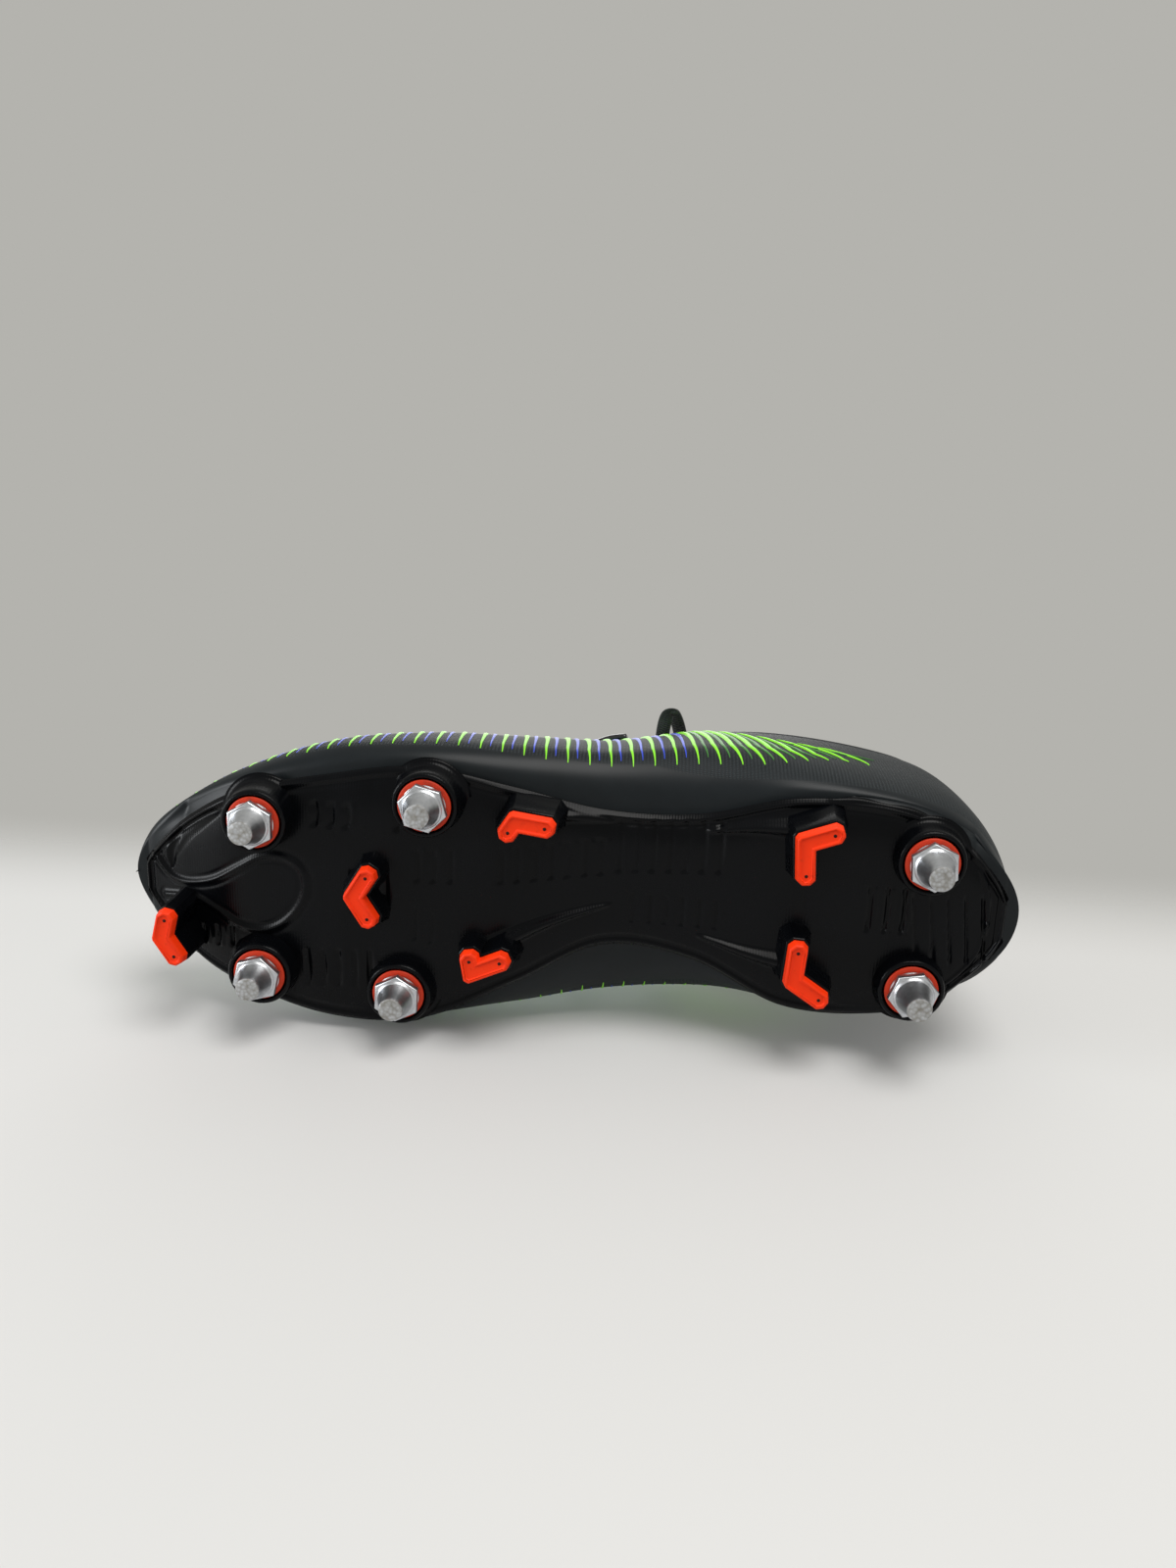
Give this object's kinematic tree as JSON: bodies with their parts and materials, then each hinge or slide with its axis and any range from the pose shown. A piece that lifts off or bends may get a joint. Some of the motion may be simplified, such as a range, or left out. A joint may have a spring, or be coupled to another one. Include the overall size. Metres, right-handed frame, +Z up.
{
  "type": "soccer cleat",
  "caption": "Low-cut soft-ground football boot for the left foot with screw-in metal studs, moulded chevron studs, laced upper and padded collar.",
  "frame": {"origin": "middle of the box round the boot without its free lace loops and ends, at the ground that its stud tips stand on", "axes": "+Z up through the ankle opening, -Y towards the toe, +Y towards the heel, +X towards the lateral (outer) side"},
  "size_m": [0.0969, 0.2908, 0.1052],
  "materials": {
    "plate": "glossy moulded nylon",
    "chevron_orange": "moulded, slightly worn",
    "stud_aluminium": "machined, pitted at the tip",
    "ring_red": "moulded",
    "insert_steel": "plated",
    "upper": "coated synthetic with a fine texture",
    "stiffener": "fibre board",
    "lining": "knitted lining",
    "lace": "flat woven lace",
    "aglet": "clear film over black lace"
  },
  "bodies": {
    "boot": {"outsole_plate": "plate", "chevron_stud_toe_medial": "chevron_orange", "chevron_stud_fore_centre": "chevron_orange", "chevron_stud_mid_lateral": "chevron_orange", "chevron_stud_mid_medial": "chevron_orange", "chevron_stud_heel_lateral": "chevron_orange", "chevron_stud_heel_medial": "chevron_orange", "threaded_insert_fore_lateral": "insert_steel", "threaded_insert_ball_lateral": "insert_steel", "threaded_insert_fore_medial": "insert_steel", "threaded_insert_ball_medial": "insert_steel", "threaded_insert_heel_lateral": "insert_steel", "threaded_insert_heel_medial": "insert_steel", "insole_board": "stiffener", "sockliner": "lining", "upper_shell": "upper", "heel_counter": "stiffener", "toe_puff": "stiffener", "collar_lining": "lining", "eyestay_lateral": "upper", "eyestay_medial": "upper", "lace_through_eyelets": "lace", "lace_knot": "lace", "lace_loop_lateral": "lace", "lace_loop_medial": "lace", "lace_end_lateral": "lace", "lace_end_medial": "lace", "aglet_lateral": "aglet", "aglet_medial": "aglet"},
    "tongue": {"tongue": "lining"},
    "seat_ring_fore_lateral": {"seat_ring_fore_lateral": "ring_red"},
    "stud_fore_lateral": {"stud_fore_lateral": "stud_aluminium", "stud_post_fore_lateral": "insert_steel"},
    "seat_ring_ball_lateral": {"seat_ring_ball_lateral": "ring_red"},
    "stud_ball_lateral": {"stud_ball_lateral": "stud_aluminium", "stud_post_ball_lateral": "insert_steel"},
    "seat_ring_fore_medial": {"seat_ring_fore_medial": "ring_red"},
    "stud_fore_medial": {"stud_fore_medial": "stud_aluminium", "stud_post_fore_medial": "insert_steel"},
    "seat_ring_ball_medial": {"seat_ring_ball_medial": "ring_red"},
    "stud_ball_medial": {"stud_ball_medial": "stud_aluminium", "stud_post_ball_medial": "insert_steel"},
    "seat_ring_heel_lateral": {"seat_ring_heel_lateral": "ring_red"},
    "stud_heel_lateral": {"stud_heel_lateral": "stud_aluminium", "stud_post_heel_lateral": "insert_steel"},
    "seat_ring_heel_medial": {"seat_ring_heel_medial": "ring_red"},
    "stud_heel_medial": {"stud_heel_medial": "stud_aluminium", "stud_post_heel_medial": "insert_steel"}
  },
  "joints": [
    {"name": "tongue_flex", "type": "hinge", "parent": "boot", "child": "tongue", "pos_m": [-0.004, -0.06, 0.0585], "axis": [1, 0, 0], "range_deg": [-8, 0], "stiffness_Nm_per_rad": 0.4},
    {"name": "unscrew_travel_fore_lateral", "type": "slide", "parent": "boot", "child": "seat_ring_fore_lateral", "axis": [0, 0, -1], "range_m": [0, 0.007]},
    {"name": "unscrew_turn_fore_lateral", "type": "hinge", "parent": "seat_ring_fore_lateral", "child": "stud_fore_lateral", "pos_m": [0.0233, -0.09559, 0.011], "axis": [0, 0, -1], "range_deg": [0, 2521]},
    {"name": "unscrew_travel_ball_lateral", "type": "slide", "parent": "boot", "child": "seat_ring_ball_lateral", "axis": [0, 0, -1], "range_m": [0, 0.007]},
    {"name": "unscrew_turn_ball_lateral", "type": "hinge", "parent": "seat_ring_ball_lateral", "child": "stud_ball_lateral", "pos_m": [0.0316, -0.04132, 0.011], "axis": [0, 0, -1], "range_deg": [0, 2521]},
    {"name": "unscrew_travel_fore_medial", "type": "slide", "parent": "boot", "child": "seat_ring_fore_medial", "axis": [0, 0, -1], "range_m": [0, 0.007]},
    {"name": "unscrew_turn_fore_medial", "type": "hinge", "parent": "seat_ring_fore_medial", "child": "stud_fore_medial", "pos_m": [-0.0286, -0.09588, 0.011], "axis": [0, 0, -1], "range_deg": [0, 2521]},
    {"name": "unscrew_travel_ball_medial", "type": "slide", "parent": "boot", "child": "seat_ring_ball_medial", "axis": [0, 0, -1], "range_m": [0, 0.007]},
    {"name": "unscrew_turn_ball_medial", "type": "hinge", "parent": "seat_ring_ball_medial", "child": "stud_ball_medial", "pos_m": [-0.0326, -0.0502, 0.011], "axis": [0, 0, -1], "range_deg": [0, 2521]},
    {"name": "unscrew_travel_heel_lateral", "type": "slide", "parent": "boot", "child": "seat_ring_heel_lateral", "axis": [0, 0, -1], "range_m": [0, 0.007]},
    {"name": "unscrew_turn_heel_lateral", "type": "hinge", "parent": "seat_ring_heel_lateral", "child": "stud_heel_lateral", "pos_m": [0.0208, 0.1148, 0.013], "axis": [0, 0, -1], "range_deg": [0, 2521]},
    {"name": "unscrew_travel_heel_medial", "type": "slide", "parent": "boot", "child": "seat_ring_heel_medial", "axis": [0, 0, -1], "range_m": [0, 0.007]},
    {"name": "unscrew_turn_heel_medial", "type": "hinge", "parent": "seat_ring_heel_medial", "child": "stud_heel_medial", "pos_m": [-0.0216, 0.11276, 0.013], "axis": [0, 0, -1], "range_deg": [0, 2521]}
  ],
  "couplings": [
    {"joint": "unscrew_turn_fore_lateral", "follows": "unscrew_travel_fore_lateral", "rad_per_m": 6283.2},
    {"joint": "unscrew_turn_ball_lateral", "follows": "unscrew_travel_ball_lateral", "rad_per_m": 6283.2},
    {"joint": "unscrew_turn_fore_medial", "follows": "unscrew_travel_fore_medial", "rad_per_m": 6283.2},
    {"joint": "unscrew_turn_ball_medial", "follows": "unscrew_travel_ball_medial", "rad_per_m": 6283.2},
    {"joint": "unscrew_turn_heel_lateral", "follows": "unscrew_travel_heel_lateral", "rad_per_m": 6283.2},
    {"joint": "unscrew_turn_heel_medial", "follows": "unscrew_travel_heel_medial", "rad_per_m": 6283.2}
  ]
}
